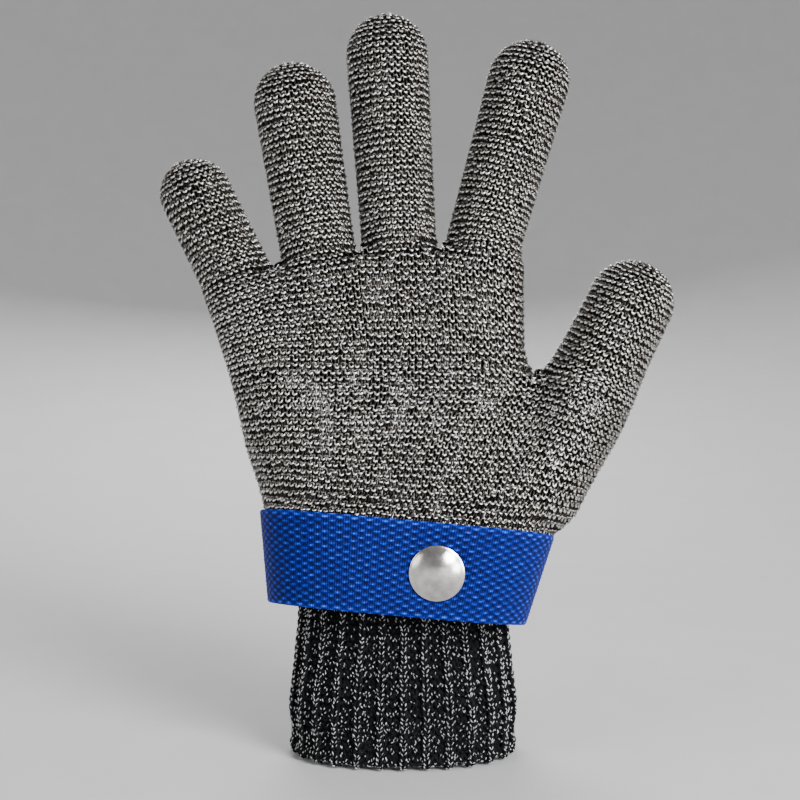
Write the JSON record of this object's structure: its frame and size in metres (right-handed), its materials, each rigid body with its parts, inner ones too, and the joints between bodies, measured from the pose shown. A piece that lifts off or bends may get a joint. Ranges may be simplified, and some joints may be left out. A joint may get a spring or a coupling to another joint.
{
  "type": "cut-resistant mesh glove",
  "caption": "Right-hand butcher's glove of knitted steel wire mesh with jointed fingers, ribbed knit cuff and a webbing wrist strap closed by a press stud.",
  "frame": {"origin": "centre of the wrist opening, in the plane of the cuff's lower edge", "axes": "+Z along the hand toward the fingertips, -Y out of the palm, +X toward the thumb"},
  "size_m": [0.1657, 0.0647, 0.2374],
  "materials": {
    "wire_mesh": "bright knitted stainless wire",
    "cuff_yarn": "black ribbed knit with steel flecks",
    "overlock_thread": "dull blue-grey overlock thread",
    "elastic": "covered elastic yarn",
    "webbing": "royal blue woven webbing",
    "strap_thread": "blue polyester thread",
    "snap_metal": "nickel-plated"
  },
  "bodies": {
    "cuff": {"cuff_rib": "cuff_yarn", "cuff_hem": "cuff_yarn", "cuff_overlock": "overlock_thread", "cuff_elastic": "elastic"},
    "hand": {"hand_mesh": "wire_mesh", "strap_band": "webbing", "strap_seams": "strap_thread", "flap_root_stitching": "strap_thread", "snap_stud": "snap_metal", "snap_eyelet": "snap_metal"},
    "strap_end": {"strap_flap": "webbing", "snap_cap": "snap_metal", "snap_socket": "snap_metal"},
    "index_lower": {"index_lower": "wire_mesh"},
    "index_middle": {"index_middle": "wire_mesh"},
    "index_tip": {"index_tip": "wire_mesh"},
    "middle_lower": {"middle_lower": "wire_mesh"},
    "middle_middle": {"middle_middle": "wire_mesh"},
    "middle_tip": {"middle_tip": "wire_mesh"},
    "ring_lower": {"ring_lower": "wire_mesh"},
    "ring_middle": {"ring_middle": "wire_mesh"},
    "ring_tip": {"ring_tip": "wire_mesh"},
    "little_lower": {"little_lower": "wire_mesh"},
    "little_middle": {"little_middle": "wire_mesh"},
    "little_tip": {"little_tip": "wire_mesh"},
    "thumb_lower": {"thumb_lower": "wire_mesh"},
    "thumb_tip": {"thumb_tip": "wire_mesh"}
  },
  "joints": [
    {"name": "wrist_bend", "type": "hinge", "parent": "cuff", "child": "hand", "pos_m": [0, 0, 0.05], "axis": [1, 0, 0], "range_deg": [-12, 12]},
    {"name": "index_root_knuckle", "type": "hinge", "parent": "hand", "child": "index_lower", "pos_m": [0.02754, -0.00028, 0.1687], "axis": [0.9636, 0, -0.2672], "range_deg": [0, 55]},
    {"name": "index_middle_knuckle", "type": "hinge", "parent": "index_lower", "child": "index_middle", "pos_m": [0.03368, -0.00108, 0.19085], "axis": [0.9636, 0, -0.2672], "range_deg": [0, 60]},
    {"name": "index_end_knuckle", "type": "hinge", "parent": "index_middle", "child": "index_tip", "pos_m": [0.03929, -0.00181, 0.21108], "axis": [0.9636, 0, -0.2672], "range_deg": [0, 36]},
    {"name": "middle_root_knuckle", "type": "hinge", "parent": "hand", "child": "middle_lower", "pos_m": [-0.0016, -0.00028, 0.16788], "axis": [0.998, 0, 0.0628], "range_deg": [0, 55]},
    {"name": "middle_middle_knuckle", "type": "hinge", "parent": "middle_lower", "child": "middle_middle", "pos_m": [-0.00317, -0.00115, 0.19281], "axis": [0.998, 0, 0.0628], "range_deg": [0, 60]},
    {"name": "middle_end_knuckle", "type": "hinge", "parent": "middle_middle", "child": "middle_tip", "pos_m": [-0.00461, -0.00195, 0.21576], "axis": [0.998, 0, 0.0628], "range_deg": [0, 36]},
    {"name": "ring_root_knuckle", "type": "hinge", "parent": "hand", "child": "ring_lower", "pos_m": [-0.02832, -0.00028, 0.165], "axis": [0.9882, 0, 0.153], "range_deg": [0, 55]},
    {"name": "ring_middle_knuckle", "type": "hinge", "parent": "ring_lower", "child": "ring_middle", "pos_m": [-0.03153, -0.00101, 0.18574], "axis": [0.9882, 0, 0.153], "range_deg": [0, 60]},
    {"name": "ring_end_knuckle", "type": "hinge", "parent": "ring_middle", "child": "ring_tip", "pos_m": [-0.03459, -0.00171, 0.20549], "axis": [0.9882, 0, 0.153], "range_deg": [0, 36]},
    {"name": "little_root_knuckle", "type": "hinge", "parent": "hand", "child": "little_lower", "pos_m": [-0.0552, -0.00021, 0.1547], "axis": [0.9011, 0, 0.4337], "range_deg": [0, 45]},
    {"name": "little_middle_knuckle", "type": "hinge", "parent": "little_lower", "child": "little_middle", "pos_m": [-0.06105, -0.00068, 0.16686], "axis": [0.9011, 0, 0.4337], "range_deg": [0, 60]},
    {"name": "little_end_knuckle", "type": "hinge", "parent": "little_middle", "child": "little_tip", "pos_m": [-0.06668, -0.00113, 0.17857], "axis": [0.9011, 0, 0.4337], "range_deg": [0, 36]},
    {"name": "thumb_root_knuckle", "type": "hinge", "parent": "hand", "child": "thumb_lower", "pos_m": [0.06104, -0.0037, 0.11918], "axis": [0.6702, -0.6412, -0.3738], "range_deg": [0, 35]},
    {"name": "thumb_end_knuckle", "type": "hinge", "parent": "thumb_lower", "child": "thumb_tip", "pos_m": [0.06972, -0.00509, 0.13714], "axis": [0.6702, -0.6412, -0.3738], "range_deg": [0, 50]},
    {"name": "strap_open", "type": "hinge", "parent": "hand", "child": "strap_end", "pos_m": [-0.0447, -0.005, 0.06276], "axis": [0.0886, 0, -0.9961], "range_deg": [0, 100]}
  ],
  "couplings": [
    {"joint": "index_end_knuckle", "follows": "index_middle_knuckle", "ratio": 0.6},
    {"joint": "middle_end_knuckle", "follows": "middle_middle_knuckle", "ratio": 0.6},
    {"joint": "ring_end_knuckle", "follows": "ring_middle_knuckle", "ratio": 0.6},
    {"joint": "little_end_knuckle", "follows": "little_middle_knuckle", "ratio": 0.6}
  ]
}
